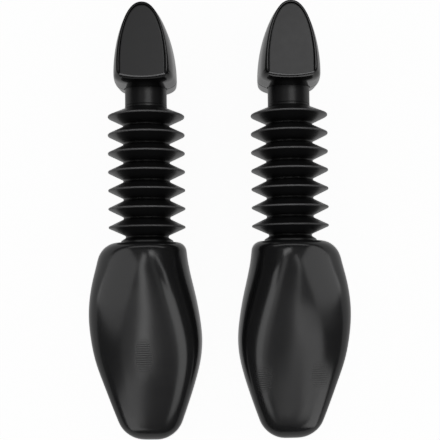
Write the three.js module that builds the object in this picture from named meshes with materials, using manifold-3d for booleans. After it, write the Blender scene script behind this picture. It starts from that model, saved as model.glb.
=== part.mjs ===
// A pair of bellows shoe trees in black plastic, one for each foot, lying on their soles.
// Millimetres, +Z up, +Y towards the heels, origin on the floor at the middle of the pair.
import * as THREE from "three";
import { mergeVertices } from "three/addons/utils/BufferGeometryUtils.js";
import Module from "manifold-3d";

const wasm = await Module();
wasm.setup();

// Whole pair
const treeSpacing = 94.6;
const axisHeight = 30;
const meetingGap = 0.3;

// Toe form
const toeLength = 132.6;
const lateralReach = 40;
const medialReach = 35.3;
const toeHeight = 57;
const tipSeamHeight = 8;
const shoulderRound = 6;
const outerShoulderRound = 11;
const crownRound = 5;
const tipRound = 12;
const noseRound = 9;
const toeWall = 2.2;
const mouthWall = 3;
const mouthRadius = 18;

// Bellows
const foldCount = 7;
const toeFoldCount = 3;
const foldPitch = 12.2;
const ridgeRadius = 25.4;
const ridgeLand = 1;
const valleyRadius = 15.4;
const valleyLand = 1.4;
const endValleyRadius = 13.9;
const bellowsWall = 1.3;
const firstRidge = 9.9;
const lastConeRun = 5.3;

// Ends of the bellows
const cuffClearance = 0.5;
const cuffWall = 1.6;
const cuffLip = 1;
const flangeRise = 3.3;
const flangeThickness = 1.9;
const cuffTail = 1.8;
const ribThickness = 1.9;
const supportWall = 2;
const heelCuffRadius = 14.1;
const heelCuffLength = 1.2;

// Neck
const neckRadius = 13.8;
const neckBore = 10.4;
const neckShow = 8.9;
const spigotRadius = 12.1;
const spigotLength = 3.2;
const neckFlangeRise = 2;
const neckTail = 2.8;
const neckClearance = 0.4;

// Heel block
const heelLength = 52.5;
const heelWidth = 41;
const heelHeight = 60;
const heelFrontLobe = 8;
const heelFrontBow = 1.2;
const heelWall = 2.2;
const heelFloor = 2.5;
const heelCollarDepth = 4.5;
const heelCollarRise = 4.7;
const rimWidth = 2.3;
const panelThickness = 2.1;
const panelSink = 0.3;
const panelBevel = 0.5;
const panelBow = 1.7;
const deckThickness = 1.8;

// Screws and their bosses
const screwHeadRadius = 2.9;
const screwHeadHeight = 2.2;
const screwSocketDepth = 1.2;
const screwShankRadius = 1.25;
const screwPointLength = 1.5;
const screwGrip = 5;
const screwBite = 9;
const screwClearance = 0.4;
const bossRadius = 5;
const pilotExtra = 2;
const toeScrewOuter = 20;
const toeScrewInner = 16;
const toeScrewFromMouth = 46;
const toeScrewFromTip = 26;
const heelScrewFromFront = 21.5;
const heelScrewFromRear = 13.5;

// Colours and finishes
const shellLook = { color: 0x101011, roughness: 0.3, metalness: 0 };
const bellowsLook = { color: 0x0a0a0b, roughness: 0.2, metalness: 0 };
const panelLook = { color: 0x1d1d1e, roughness: 0.45, metalness: 0 };
const innerLook = { color: 0x1b1b1c, roughness: 0.5, metalness: 0 };
const steelLook = { color: 0xb9bbbd, roughness: 0.35, metalness: 1 };

// Facets
const roundSides = 20;
const screwSides = 10;
const toeSkin = { rings: 16, quarterSteps: 5 };
const toeHollow = { rings: 8, quarterSteps: 3 };
const heelSkin = { levels: [0, 0.03, 0.09, 0.25, 0.5, 0.75, 0.9, 1], rearSteps: 7, frontSteps: 4 };
const heelHollow = { levels: [0, 0.25, 0.5, 0.75, 1], rearSteps: 4, frontSteps: 2 };

// The form of the toe, from the mouth to the tip: place along the length, then the reach to the outer and
// inner side, the height of the crown and of the sole, each as a share of its full size, then where the
// crown lies across (share of the inner reach) and how square the outer and inner flanks are
const toeStations = [
  [0.0, 0.77, 0.72, 0.965, 0.065, 0.03, 1.95, 2.1],
  [0.08, 0.825, 0.745, 1.0, 0.005, 0.05, 1.85, 2.1],
  [0.18, 0.915, 0.815, 0.99, -0.02, 0.155, 2.0, 2.2],
  [0.28, 0.98, 0.9, 0.942, -0.02, 0.23, 2.2, 2.4],
  [0.38, 1.0, 0.965, 0.877, -0.02, 0.32, 2.45, 2.6],
  [0.49, 0.968, 1.0, 0.8, -0.02, 0.375, 2.85, 3.0],
  [0.6, 0.895, 0.96, 0.714, -0.02, 0.375, 3.3, 3.5],
  [0.7, 0.785, 0.865, 0.632, -0.02, 0.3, 3.6, 3.9],
  [0.8, 0.67, 0.745, 0.548, -0.01, 0.21, 3.8, 4.1],
  [0.91, 0.54, 0.6, 0.455, 0.02, 0.115, 3.6, 3.7],
  [1.0, 0.43, 0.475, 0.36, 0.055, 0.07, 3.2, 3.3],
];
const soleSquareness = 3;
const soleNoseShare = 0.5;

// The form of the heel, from the floor up: share of the height, share of the half width, then how far the
// front and the rear stand back, as shares of the length, and how square the front corners are
const heelStations = [
  [0.0, 0.7, 0.105, 0.095, 3.2],
  [0.083, 0.865, 0.055, 0.04, 3.2],
  [0.25, 0.97, 0.03, 0.01, 3.2],
  [0.5, 1.0, 0.025, 0.0, 3.2],
  [0.75, 0.962, 0.033, 0.0, 3.6],
  [0.9, 0.895, 0.05, 0.0, 4.4],
  [1.0, 0.793, 0.0874, 0.0, 5.0],
];
const heelRearTaper = 1.8;
const heelRearSquareness = 2.2;

// Places along the axis, from the mouth of the toe form (0) towards the heel
const ribFront = -mouthWall - flangeThickness - 2 * meetingGap;
const ribBack = ribFront - ribThickness;
const lastRidge = firstRidge + (foldCount - 1) * foldPitch;
const bellowsEnd = lastRidge + lastConeRun;
const heelCuffStart = bellowsEnd + meetingGap;
const neckShoulder = heelCuffStart + heelCuffLength + meetingGap;
const heelFront = neckShoulder + neckShow;
const heelRear = heelFront + heelLength;
const collarBack = heelFront + heelCollarDepth;
const neckFlangeStart = collarBack + meetingGap;
const neckFlangeEnd = neckFlangeStart + flangeThickness;
const heelRibFront = neckFlangeEnd + meetingGap;
const heelRibBack = heelRibFront + ribThickness;
const pairMiddle = (heelRear - toeLength) / 2;
const cuffRadius = mouthRadius - cuffClearance;

// Screw places: across from the axis towards the inner side, and along towards the heel
const toeScrewPlaces = [
  [-toeScrewOuter, -toeScrewFromMouth],
  [toeScrewInner, -toeScrewFromMouth],
  [0, toeScrewFromTip - toeLength],
];
const heelScrewPlaces = [
  [0, heelFront + heelScrewFromFront],
  [0, heelRear - heelScrewFromRear],
];

// Lengths for cuts: past every part of a tree, and just past a face
const cutReach = 2 * (toeLength + heelRear);
const cutOver = 1;

function toSolid(geometry) {
  const bare = geometry.clone();
  bare.deleteAttribute("normal");
  bare.deleteAttribute("uv");
  const merged = mergeVertices(bare);
  return new wasm.Manifold(
    new wasm.Mesh({
      numProp: 3,
      vertProperties: merged.attributes.position.array,
      triVerts: new Uint32Array(merged.index.array),
    }),
  );
}

function toGeometry(solid) {
  const mesh = solid.getMesh();
  const geometry = new THREE.BufferGeometry();
  geometry.setAttribute("position", new THREE.BufferAttribute(mesh.vertProperties, 3));
  geometry.setIndex(new THREE.BufferAttribute(mesh.triVerts, 1));
  geometry.computeVertexNormals();
  return geometry;
}

// A closed skin over rings of points. The rings turn right-handed about the way that they advance.
function loft(rings) {
  const sides = rings[0].length;
  const points = rings.flat();
  const faces = [];
  for (let ring = 0; ring < rings.length - 1; ring++) {
    for (let side = 0; side < sides; side++) {
      const here = ring * sides + side;
      const next = ring * sides + ((side + 1) % sides);
      faces.push(here, next, next + sides, here, next + sides, here + sides);
    }
  }
  const caps = [
    { ring: 0, turn: -1 },
    { ring: rings.length - 1, turn: 1 },
  ];
  for (const { ring, turn } of caps) {
    const centre = points.length;
    const middle = new THREE.Vector3();
    rings[ring].forEach((point) => middle.addScaledVector(point, 1 / sides));
    points.push(middle);
    for (let side = 0; side < sides; side++) {
      const here = ring * sides + side;
      const next = ring * sides + ((side + 1) % sides);
      faces.push(centre, turn > 0 ? here : next, turn > 0 ? next : here);
    }
  }
  const geometry = new THREE.BufferGeometry().setFromPoints(points);
  geometry.setIndex(faces);
  return geometry;
}

// A smooth curve through rows of numbers, each row starting with its place
function smoothRows(rows) {
  const places = rows.map((row) => row[0]);
  const values = rows.flatMap((row) => row.slice(1));
  const curve = new THREE.CubicInterpolant(places, values, rows[0].length - 1);
  return (place) => Array.from(curve.evaluate(place));
}

// How far a rounded end of this radius draws in at a distance from the end
function roundInset(radius, fromEnd) {
  const along = Math.max(radius - fromEnd, 0);
  return radius - Math.sqrt(Math.max(radius * radius - along * along, 0));
}

// A body of revolution about the Y axis, raised to the axis of the bellows
function turned(profile) {
  const points = profile.map(([radius, along]) => new THREE.Vector2(radius, along));
  const geometry = new THREE.LatheGeometry([...points, points[0]], roundSides);
  return geometry.translate(0, 0, axisHeight);
}

function rod(radius, from, to) {
  return turned([
    [0, from],
    [radius, from],
    [radius, to],
    [0, to],
  ]);
}

function post(radius, across, along, from, to) {
  const geometry = new THREE.CylinderGeometry(radius, radius, to - from, screwSides);
  geometry.rotateX(Math.PI / 2);
  return geometry.translate(across, along, (from + to) / 2);
}

function slab(from, to) {
  const geometry = new THREE.BoxGeometry(cutReach, to - from, cutReach);
  return geometry.translate(0, (from + to) / 2, 0);
}

// All space on one side of a seam that falls towards the toe from the axis at the mouth
function seamSide(fall, side) {
  const geometry = new THREE.BoxGeometry(cutReach, cutReach, cutReach);
  geometry.translate(0, 0, (side * (cutReach + meetingGap)) / 2);
  geometry.rotateX(Math.atan(fall));
  return toSolid(geometry.translate(0, 0, axisHeight));
}

const toeSeamSlope = (axisHeight - tipSeamHeight) / toeLength;
const toeForm = smoothRows(toeStations);

// One cross-section of the toe form at a distance from the mouth, drawn in by a wall
function toeRing(fromMouth, wall, quarterSteps) {
  const share = THREE.MathUtils.clamp(fromMouth / toeLength, 0, 1);
  const [outer, inner, crown, sole, ridge, outerSquare, innerSquare] = toeForm(share);
  const fromTip = toeLength - fromMouth;
  const shoulder = roundInset(shoulderRound, fromMouth);
  const outerShoulder = roundInset(outerShoulderRound, fromMouth);
  const crownEdge = roundInset(crownRound, fromMouth);
  const tip = roundInset(tipRound, fromTip);
  const nose = roundInset(noseRound, fromTip);
  const belt = axisHeight - fromMouth * toeSeamSlope;
  const lateral = -(outer * lateralReach - outerShoulder - tip - wall);
  const medial = inner * medialReach - shoulder - tip - wall;
  const top = crown * toeHeight - crownEdge - nose - wall;
  const floor = wall > 0 ? Math.max(sole, 0) : sole;
  const bottom = floor * toeHeight + shoulder + nose * soleNoseShare + wall;
  const ridgeAcross = ridge * medialReach;
  const soleAcross = (medial + lateral) / 2;
  const quarters = [
    { from: [ridgeAcross, top], to: [medial, belt], square: innerSquare, rising: false },
    { from: [medial, belt], to: [soleAcross, bottom], square: soleSquareness, rising: true },
    { from: [soleAcross, bottom], to: [lateral, belt], square: soleSquareness, rising: false },
    { from: [lateral, belt], to: [ridgeAcross, top], square: outerSquare, rising: true },
  ];
  const ring = [];
  for (const { from, to, square, rising } of quarters) {
    for (let step = 0; step < quarterSteps; step++) {
      const turn = ((step / quarterSteps) * Math.PI) / 2;
      const gone = Math.sin(turn) ** (2 / square);
      const left = Math.cos(turn) ** (2 / square);
      const across = rising ? to[0] + (from[0] - to[0]) * left : from[0] + (to[0] - from[0]) * gone;
      const height = rising ? from[1] + (to[1] - from[1]) * gone : to[1] + (from[1] - to[1]) * left;
      ring.push(new THREE.Vector3(across, -fromMouth, height));
    }
  }
  return ring;
}

// The toe form as a closed body from one distance to another, with rings closer at both ends
function toeBody(from, to, wall, facets) {
  const rings = [];
  for (let ring = 0; ring <= facets.rings; ring++) {
    const share = (1 + Math.cos((ring / facets.rings) * Math.PI)) / 2;
    rings.push(toeRing(from + (to - from) * share, wall, facets.quarterSteps));
  }
  return toSolid(loft(rings));
}

// A boss for a screw, trimmed to the body that it stands in
function boss(body, across, along) {
  const column = post(bossRadius, across, along, -cutReach, cutReach);
  return toSolid(column).intersect(body);
}

function screwHoles(across, along, seam) {
  const seat = seam - screwGrip;
  const holeTop = seam + screwBite + pilotExtra;
  const access = post(screwHeadRadius + screwClearance, across, along, -cutReach, seat);
  const shank = post(screwShankRadius + screwClearance, across, along, seat - cutOver, holeTop);
  return toSolid(access).add(toSolid(shank));
}

function toeSeamAt(along) {
  return axisHeight + along * toeSeamSlope;
}

function makeToeShells() {
  const floor = toSolid(new THREE.BoxGeometry(cutReach, cutReach, cutReach).translate(0, 0, cutReach / 2));
  const outside = toeBody(0, toeLength, 0, toeSkin).intersect(floor);
  const inside = toeBody(mouthWall, toeLength - toeWall, toeWall, toeHollow);
  const rib = toSolid(slab(ribBack, ribFront)).intersect(outside);
  let shell = outside.subtract(inside).add(rib);
  for (const [across, along] of toeScrewPlaces) {
    shell = shell.add(boss(outside, across, along));
  }
  const groove = rod(cuffRadius + flangeRise + cuffClearance, ribFront, -mouthWall);
  shell = shell.subtract(toSolid(rod(mouthRadius, ribBack - cutOver, cutOver))).subtract(toSolid(groove));
  for (const [across, along] of toeScrewPlaces) {
    shell = shell.subtract(screwHoles(across, along, toeSeamAt(along)));
  }
  return {
    top: shell.intersect(seamSide(toeSeamSlope, 1)),
    bottom: shell.intersect(seamSide(toeSeamSlope, -1)),
  };
}

const heelForm = smoothRows(heelStations);

// The outline of the heel at a height, drawn in by a wall: a bullet with a bowed front
function heelOutline(height, wall, { rearSteps, frontSteps }) {
  const share = THREE.MathUtils.clamp(height / heelHeight, 0, 1);
  const [width, frontBack, rearBack, frontSquareness] = heelForm(share);
  const half = (width * heelWidth) / 2 - wall;
  const front = heelFront + frontBack * heelLength + wall;
  const rear = heelRear - rearBack * heelLength - wall;
  const middle = front + heelFrontLobe;
  const outline = [];
  const quarter = ({ steps, depth, bow, taper, square }, mirrored, outward) => {
    for (let step = 0; step < steps; step++) {
      const turn = ((outward ? steps - step : step) / steps) * (Math.PI / 2);
      const across = Math.cos(turn) ** (2 / square);
      const along = middle + (depth + bow * across * across) * Math.sin(turn) ** (2 / taper);
      outline.push(new THREE.Vector2(mirrored ? -half * across : half * across, along));
    }
  };
  const rearCurve = { steps: rearSteps, depth: rear - middle, bow: 0 };
  const rearQuarter = { ...rearCurve, taper: heelRearTaper, square: heelRearSquareness };
  const frontCurve = { steps: frontSteps, depth: front - middle, bow: heelFrontBow };
  const frontQuarter = { ...frontCurve, taper: frontSquareness, square: frontSquareness };
  quarter(rearQuarter, false, false);
  quarter(rearQuarter, true, true);
  quarter(frontQuarter, true, false);
  quarter(frontQuarter, false, true);
  return outline;
}

function heelBody(from, to, wall, facets) {
  const rings = facets.levels.map((share) => {
    const height = from + (to - from) * share;
    const outline = heelOutline(height, wall, facets);
    return outline.map((point) => new THREE.Vector3(point.x, point.y, height));
  });
  return toSolid(loft(rings));
}

const recessFloor = heelHeight - panelSink - panelThickness - meetingGap;

// The top of the heel inside its rim: round the rear, with straight sides to a bowed front
function panelOutline(inset, front, bow) {
  const rearPoints = 2 * heelSkin.rearSteps + 1;
  const outline = heelOutline(heelHeight, rimWidth + inset, heelSkin).slice(0, rearPoints);
  const half = outline[0].x;
  for (let step = 0; step <= 2 * heelSkin.frontSteps; step++) {
    const share = step / heelSkin.frontSteps - 1;
    outline.push(new THREE.Vector2(share * half, front + bow * share * share));
  }
  return new THREE.Shape(outline);
}

// The recess for the panel, open at the front of the heel
function panelRecess() {
  const shape = panelOutline(0, heelFront - heelFrontLobe, 0);
  const geometry = new THREE.ExtrudeGeometry(shape, { depth: heelHeight, bevelEnabled: false });
  return toSolid(geometry.translate(0, 0, recessFloor));
}

function makeHeelShells() {
  const outside = heelBody(0, heelHeight, 0, heelSkin);
  const inside = heelBody(heelFloor, recessFloor - deckThickness, heelWall, heelHollow);
  const collar = toSolid(rod(neckRadius + heelCollarRise, heelFront, collarBack)).intersect(outside);
  const rib = toSolid(slab(heelRibFront, heelRibBack)).intersect(outside);
  let shell = outside.subtract(inside).add(collar).add(rib);
  for (const [across, along] of heelScrewPlaces) {
    shell = shell.add(boss(outside, across, along));
  }
  const neckHole = rod(neckRadius + neckClearance, heelFront - cutOver, heelRibBack + cutOver);
  const groove = rod(neckRadius + neckFlangeRise + neckClearance, collarBack, heelRibFront);
  shell = shell.subtract(toSolid(neckHole)).subtract(toSolid(groove)).subtract(panelRecess());
  for (const [across, along] of heelScrewPlaces) {
    shell = shell.subtract(screwHoles(across, along, axisHeight));
  }
  return {
    top: shell.intersect(seamSide(0, 1)),
    bottom: shell.intersect(seamSide(0, -1)),
  };
}

function makeHeelPanel() {
  const frontPoint = 2 * heelSkin.rearSteps + heelSkin.frontSteps;
  const front = heelOutline(heelHeight, panelBevel, heelSkin)[frontPoint].y;
  const shape = panelOutline(meetingGap + panelBevel, front, panelBow);
  const geometry = new THREE.ExtrudeGeometry(shape, {
    depth: panelThickness - 2 * panelBevel,
    bevelThickness: panelBevel,
    bevelSize: panelBevel,
    bevelSegments: 1,
  });
  return geometry.translate(0, 0, recessFloor + meetingGap + panelBevel);
}

// Points up one side of a run of folds and down its inside
function foldedWall(startPoint, ridges, valleys, endPoint) {
  const outside = [startPoint];
  const inside = [[startPoint[0] - bellowsWall, startPoint[1]]];
  const addLand = (radius, along, land) => {
    outside.push([radius, along - land / 2], [radius, along + land / 2]);
    inside.push([radius - bellowsWall, along]);
  };
  ridges.forEach((ridge, index) => {
    const valley = valleys[index];
    if (valley) {
      addLand(valley.radius, valley.along, valleyLand);
    }
    addLand(ridgeRadius, ridge, ridgeLand);
  });
  outside.push(endPoint);
  inside.push([endPoint[0] - bellowsWall, endPoint[1]]);
  return turned([...outside, ...inside.reverse()]);
}

function ridgeAt(index) {
  return firstRidge + index * foldPitch;
}

function valleyBefore(index) {
  const radius = index === 0 ? endValleyRadius : valleyRadius;
  return { radius, along: ridgeAt(index) - foldPitch / 2 };
}

function foldRange(from, to) {
  return Array.from({ length: to - from }, (_, index) => from + index);
}

function makeToeFolds() {
  const folds = foldRange(0, toeFoldCount);
  const split = valleyBefore(toeFoldCount);
  return foldedWall(
    [cuffRadius - cuffClearance, cuffLip + meetingGap],
    folds.map(ridgeAt),
    folds.map(valleyBefore),
    [split.radius, split.along - meetingGap / 2],
  );
}

function makeHeelFolds() {
  const folds = foldRange(toeFoldCount, foldCount);
  const split = valleyBefore(toeFoldCount);
  return foldedWall(
    [split.radius, split.along + meetingGap / 2],
    folds.map(ridgeAt),
    folds.map((fold) => (fold === toeFoldCount ? null : valleyBefore(fold))),
    [heelCuffRadius, bellowsEnd],
  );
}

function makeToeCuff() {
  const flangeFront = -mouthWall - meetingGap;
  const flangeBack = flangeFront - flangeThickness;
  const tailEnd = flangeBack - cuffTail;
  return turned([
    [cuffRadius, tailEnd],
    [cuffRadius, flangeBack],
    [cuffRadius + flangeRise, flangeBack],
    [cuffRadius + flangeRise, flangeFront],
    [cuffRadius, flangeFront],
    [cuffRadius, 0],
    [cuffRadius - cuffClearance, cuffLip],
    [cuffRadius - cuffWall - cuffClearance, cuffLip],
    [cuffRadius - cuffWall, 0],
    [cuffRadius - cuffWall, tailEnd],
  ]);
}

function makeSupportRing() {
  const outer = cuffRadius - cuffWall - meetingGap;
  const end = -mouthWall - meetingGap - flangeThickness - cuffTail;
  return turned([
    [outer, end],
    [outer, 0],
    [outer - supportWall, 0],
    [outer - supportWall, end],
  ]);
}

function makeHeelCuff() {
  const bore = spigotRadius + meetingGap;
  const end = heelCuffStart + heelCuffLength;
  return turned([
    [heelCuffRadius, heelCuffStart],
    [heelCuffRadius, end],
    [bore, end],
    [bore, heelCuffStart],
  ]);
}

function makeNeckTube() {
  const spigotStart = neckShoulder - spigotLength;
  const tailEnd = neckFlangeEnd + neckTail;
  return turned([
    [spigotRadius, spigotStart],
    [spigotRadius, neckShoulder],
    [neckRadius, neckShoulder],
    [neckRadius, neckFlangeStart],
    [neckRadius + neckFlangeRise, neckFlangeStart],
    [neckRadius + neckFlangeRise, neckFlangeEnd],
    [neckRadius, neckFlangeEnd],
    [neckRadius, tailEnd],
    [neckBore, tailEnd],
    [neckBore, spigotStart],
  ]);
}

// A pan-headed self-tapping screw, head down, with its seat under the boss at height zero
function makeScrew() {
  const length = screwGrip + screwBite;
  const points = [
    [0, screwSocketDepth - screwHeadHeight],
    [screwHeadRadius / 2, -screwHeadHeight],
    [screwHeadRadius, -screwHeadHeight],
    [screwHeadRadius, 0],
    [screwShankRadius, 0],
    [screwShankRadius, length - screwPointLength],
    [0, length],
  ].map(([radius, along]) => new THREE.Vector2(radius, along));
  return new THREE.LatheGeometry(points, screwSides).rotateX(Math.PI / 2);
}

function addPiece(tree, name, geometry, look) {
  const piece = new THREE.Mesh(geometry, new THREE.MeshStandardMaterial(look));
  piece.name = name;
  tree.add(piece);
  return piece;
}

function addScrews(tree, prefix, places, seamAt) {
  places.forEach(([across, along], index) => {
    const screw = addPiece(tree, `${prefix}_screw_${index + 1}`, makeScrew(), steelLook);
    screw.position.set(across, along, seamAt(along) - screwGrip - meetingGap);
  });
}

// One tree with its inner side towards +X, its mouth at Y zero
function makeTree(foot) {
  const tree = new THREE.Group();
  const toe = makeToeShells();
  const heel = makeHeelShells();
  addPiece(tree, `${foot}_toe_top_shell`, toGeometry(toe.top), shellLook);
  addPiece(tree, `${foot}_toe_bottom_shell`, toGeometry(toe.bottom), shellLook);
  addPiece(tree, `${foot}_support_ring`, makeSupportRing(), innerLook);
  addPiece(tree, `${foot}_bellows_toe_cuff`, makeToeCuff(), bellowsLook);
  addPiece(tree, `${foot}_bellows_toe_folds`, makeToeFolds(), bellowsLook);
  addPiece(tree, `${foot}_bellows_heel_folds`, makeHeelFolds(), bellowsLook);
  addPiece(tree, `${foot}_bellows_heel_cuff`, makeHeelCuff(), bellowsLook);
  addPiece(tree, `${foot}_neck_tube`, makeNeckTube(), shellLook);
  addPiece(tree, `${foot}_heel_top_shell`, toGeometry(heel.top), shellLook);
  addPiece(tree, `${foot}_heel_bottom_shell`, toGeometry(heel.bottom), shellLook);
  addPiece(tree, `${foot}_heel_panel`, makeHeelPanel(), panelLook);
  addScrews(tree, `${foot}_toe`, toeScrewPlaces, toeSeamAt);
  addScrews(tree, `${foot}_heel`, heelScrewPlaces, () => axisHeight);
  return tree;
}

const pair = new THREE.Group();
const rightTree = makeTree("right");
rightTree.position.set(-treeSpacing / 2, -pairMiddle, 0);
const leftTree = makeTree("left");
leftTree.position.set(treeSpacing / 2, -pairMiddle, 0);
leftTree.scale.x = -1;
pair.add(rightTree, leftTree);

export default pair;
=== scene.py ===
import math

import bpy
import numpy as np
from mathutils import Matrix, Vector


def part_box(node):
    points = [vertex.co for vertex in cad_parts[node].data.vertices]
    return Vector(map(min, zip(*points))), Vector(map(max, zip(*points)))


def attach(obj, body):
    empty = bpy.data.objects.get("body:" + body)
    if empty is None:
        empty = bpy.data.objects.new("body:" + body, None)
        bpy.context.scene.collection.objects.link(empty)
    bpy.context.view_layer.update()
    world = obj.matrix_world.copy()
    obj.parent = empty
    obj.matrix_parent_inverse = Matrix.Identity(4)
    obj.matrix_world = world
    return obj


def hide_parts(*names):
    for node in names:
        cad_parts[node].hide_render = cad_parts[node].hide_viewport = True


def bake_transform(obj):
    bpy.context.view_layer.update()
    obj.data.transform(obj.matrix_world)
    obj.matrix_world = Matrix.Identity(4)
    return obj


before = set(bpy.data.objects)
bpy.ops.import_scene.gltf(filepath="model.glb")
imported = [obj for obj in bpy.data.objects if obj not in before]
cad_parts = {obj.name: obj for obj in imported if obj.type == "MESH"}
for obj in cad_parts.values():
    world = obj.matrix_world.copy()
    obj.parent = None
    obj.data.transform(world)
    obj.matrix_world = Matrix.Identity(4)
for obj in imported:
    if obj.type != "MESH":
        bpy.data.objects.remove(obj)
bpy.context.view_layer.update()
mm = 0.001
weldReach = 0.0005 * mm
print("frame loaded:", len(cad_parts), "nodes")

# Main places, from the solids of the right tree
toeLow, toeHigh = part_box("right_toe_top_shell")
neckLow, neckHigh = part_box("right_neck_tube")
_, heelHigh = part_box("right_heel_bottom_shell")
axisX = (neckLow.x + neckHigh.x) / 2
axisZ = (neckLow.z + neckHigh.z) / 2
mouthY = toeHigh.y
toeLength = toeHigh.y - toeLow.y
heelRearY = heelHigh.y
axisStart = (axisX, mouthY, axisZ)


# Everyday moves
def clearPick():
    if bpy.context.mode != "OBJECT":
        bpy.ops.object.mode_set(mode="OBJECT")
    bpy.ops.object.select_all(action="DESELECT")


def only(piece):
    clearPick()
    piece.select_set(True)
    bpy.context.view_layer.objects.active = piece


def takeNew(name):
    piece = bpy.context.object  # what was just added or copied
    piece.name = name
    piece.data.name = name
    return piece


def editAll(piece):
    only(piece)
    bpy.ops.object.mode_set(mode="EDIT")
    bpy.ops.mesh.select_all(action="SELECT")


def mergeAndTurnOut(piece):
    editAll(piece)
    bpy.ops.mesh.remove_doubles(threshold=weldReach)
    bpy.ops.mesh.normals_make_consistent(inside=False)
    bpy.ops.object.mode_set(mode="OBJECT")


def applyModifier(piece, kind, settings):
    only(piece)
    modifier = piece.modifiers.new(kind.lower(), kind)
    for key, value in settings.items():
        setattr(modifier, key, value)
    bpy.ops.object.modifier_apply(modifier=modifier.name)


def cutBy(piece, cutter, operation="DIFFERENCE"):
    applyModifier(piece, "BOOLEAN", {"object": cutter, "operation": operation, "solver": "EXACT"})
    bpy.data.objects.remove(cutter)


def smoothShade(piece, degrees=32):
    only(piece)
    bpy.ops.object.shade_smooth_by_angle(angle=math.radians(degrees))


def smoothCurve(rows):  # an even curve through given rows, each starting with its place
    places = np.array([row[0] for row in rows])
    values = np.array([row[1:] for row in rows])
    steps = np.diff(places)
    slopes = np.diff(values, axis=0) / steps[:, None]
    system = np.eye(len(rows))
    wanted = np.zeros_like(values)
    for i in range(1, len(rows) - 1):
        system[i, i - 1 : i + 2] = steps[i - 1], 2 * (steps[i - 1] + steps[i]), steps[i]
        wanted[i] = 6 * (slopes[i] - slopes[i - 1])
    bends = np.linalg.solve(system, wanted)

    def valueAt(place):
        i = int(np.clip(np.searchsorted(places, place) - 1, 0, len(steps) - 1))
        before = (places[i + 1] - place) / steps[i]
        after = (place - places[i]) / steps[i]
        sag = (before**3 - before) * bends[i] + (after**3 - after) * bends[i + 1]
        return before * values[i] + after * values[i + 1] + sag * steps[i] ** 2 / 6

    return valueAt


def roundInset(radius, fromEnd):  # how far a rounded end draws in, at a distance from the end
    along = max(radius - fromEnd, 0)
    return radius - math.sqrt(max(radius * radius - along * along, 0))


def quarterRound(radius, steps=3):  # for each step of a rounded edge, how far in and how far back it lies
    turns = [step / steps * math.pi / 2 for step in range(steps + 1)]
    return [(radius * (1 - math.cos(turn)), radius * (1 - math.sin(turn))) for turn in turns]


def formSheet(name, across, rows, place):  # a grid laid over a form, one grid row for each row of the form
    clearPick()
    bpy.ops.mesh.primitive_grid_add(x_subdivisions=across, y_subdivisions=len(rows) - 1, size=1)
    piece = takeNew(name)
    for vertex in piece.data.vertices:
        turn = vertex.co.x + 0.5
        row = rows[round((vertex.co.y + 0.5) * (len(rows) - 1))]
        vertex.co = place(row, turn)
    mergeAndTurnOut(piece)
    return piece


def rod(radius, middle, length, along="Z", sides=48):
    clearPick()
    turned = (math.pi / 2, 0, 0) if along == "Y" else (0, 0, 0)
    bpy.ops.mesh.primitive_cylinder_add(
        vertices=sides, radius=radius, depth=length, location=middle, rotation=turned
    )
    bpy.ops.object.transform_apply(location=True, rotation=True, scale=True)
    return takeNew("rod")


def rounded(corners, steps):  # corners are (radius, along, round), each sharp corner becomes an arc
    points = []
    for i, (radius, along, soft) in enumerate(corners):
        here = Vector((radius, along))
        if soft == 0 or i in (0, len(corners) - 1):
            points.append(here)
            continue
        back = (Vector(corners[i - 1][:2]) - here).normalized()
        ahead = (Vector(corners[i + 1][:2]) - here).normalized()
        half = back.angle(ahead) / 2
        middle = here + (back + ahead).normalized() * soft / math.sin(half)
        start = here + back * soft / math.tan(half) - middle
        end = here + ahead * soft / math.tan(half) - middle
        for step in range(steps + 1):
            points.append(middle + start.slerp(end, step / steps, start) * soft)
    return points


def braced(points, reach=0.25 * mm):  # a point close to each end of a long run keeps its shading straight
    path = [points[0]]
    for here, there in zip(points, points[1:]):
        way = there - here
        if way.length > 4 * reach:
            path += [here + way.normalized() * reach, there - way.normalized() * reach]
        path.append(there)
    return path


def turnOutline(name, points, steps, base, upright=False):  # upright turns about Z, otherwise about Y
    clearPick()
    bpy.ops.mesh.primitive_plane_add(size=mm, location=base)
    bpy.ops.object.transform_apply(location=True, rotation=True, scale=True)
    piece = takeNew(name)
    editAll(piece)
    bpy.ops.mesh.merge(type="CENTER")
    here = Vector((0, 0))
    for number, point in enumerate(braced(points)):
        move = point - here
        step = {"value": (move.x, 0, move.y) if upright else (move.x, move.y, 0)}
        if number == 0:
            bpy.ops.transform.translate(**step)
        else:
            bpy.ops.mesh.extrude_region_move(TRANSFORM_OT_translate=step)
        here = point
    bpy.ops.mesh.select_all(action="SELECT")
    about = (0, 0, 1) if upright else (0, 1, 0)
    bpy.ops.mesh.spin(steps=steps, angle=2 * math.pi, center=base, axis=about)
    bpy.ops.object.mode_set(mode="OBJECT")
    mergeAndTurnOut(piece)
    return piece


def nodeBase(node):  # the middle of a node's box, at its lowest height
    low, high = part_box(node)
    return Vector(((low.x + high.x) / 2, (low.y + high.y) / 2, low.z))


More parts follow.
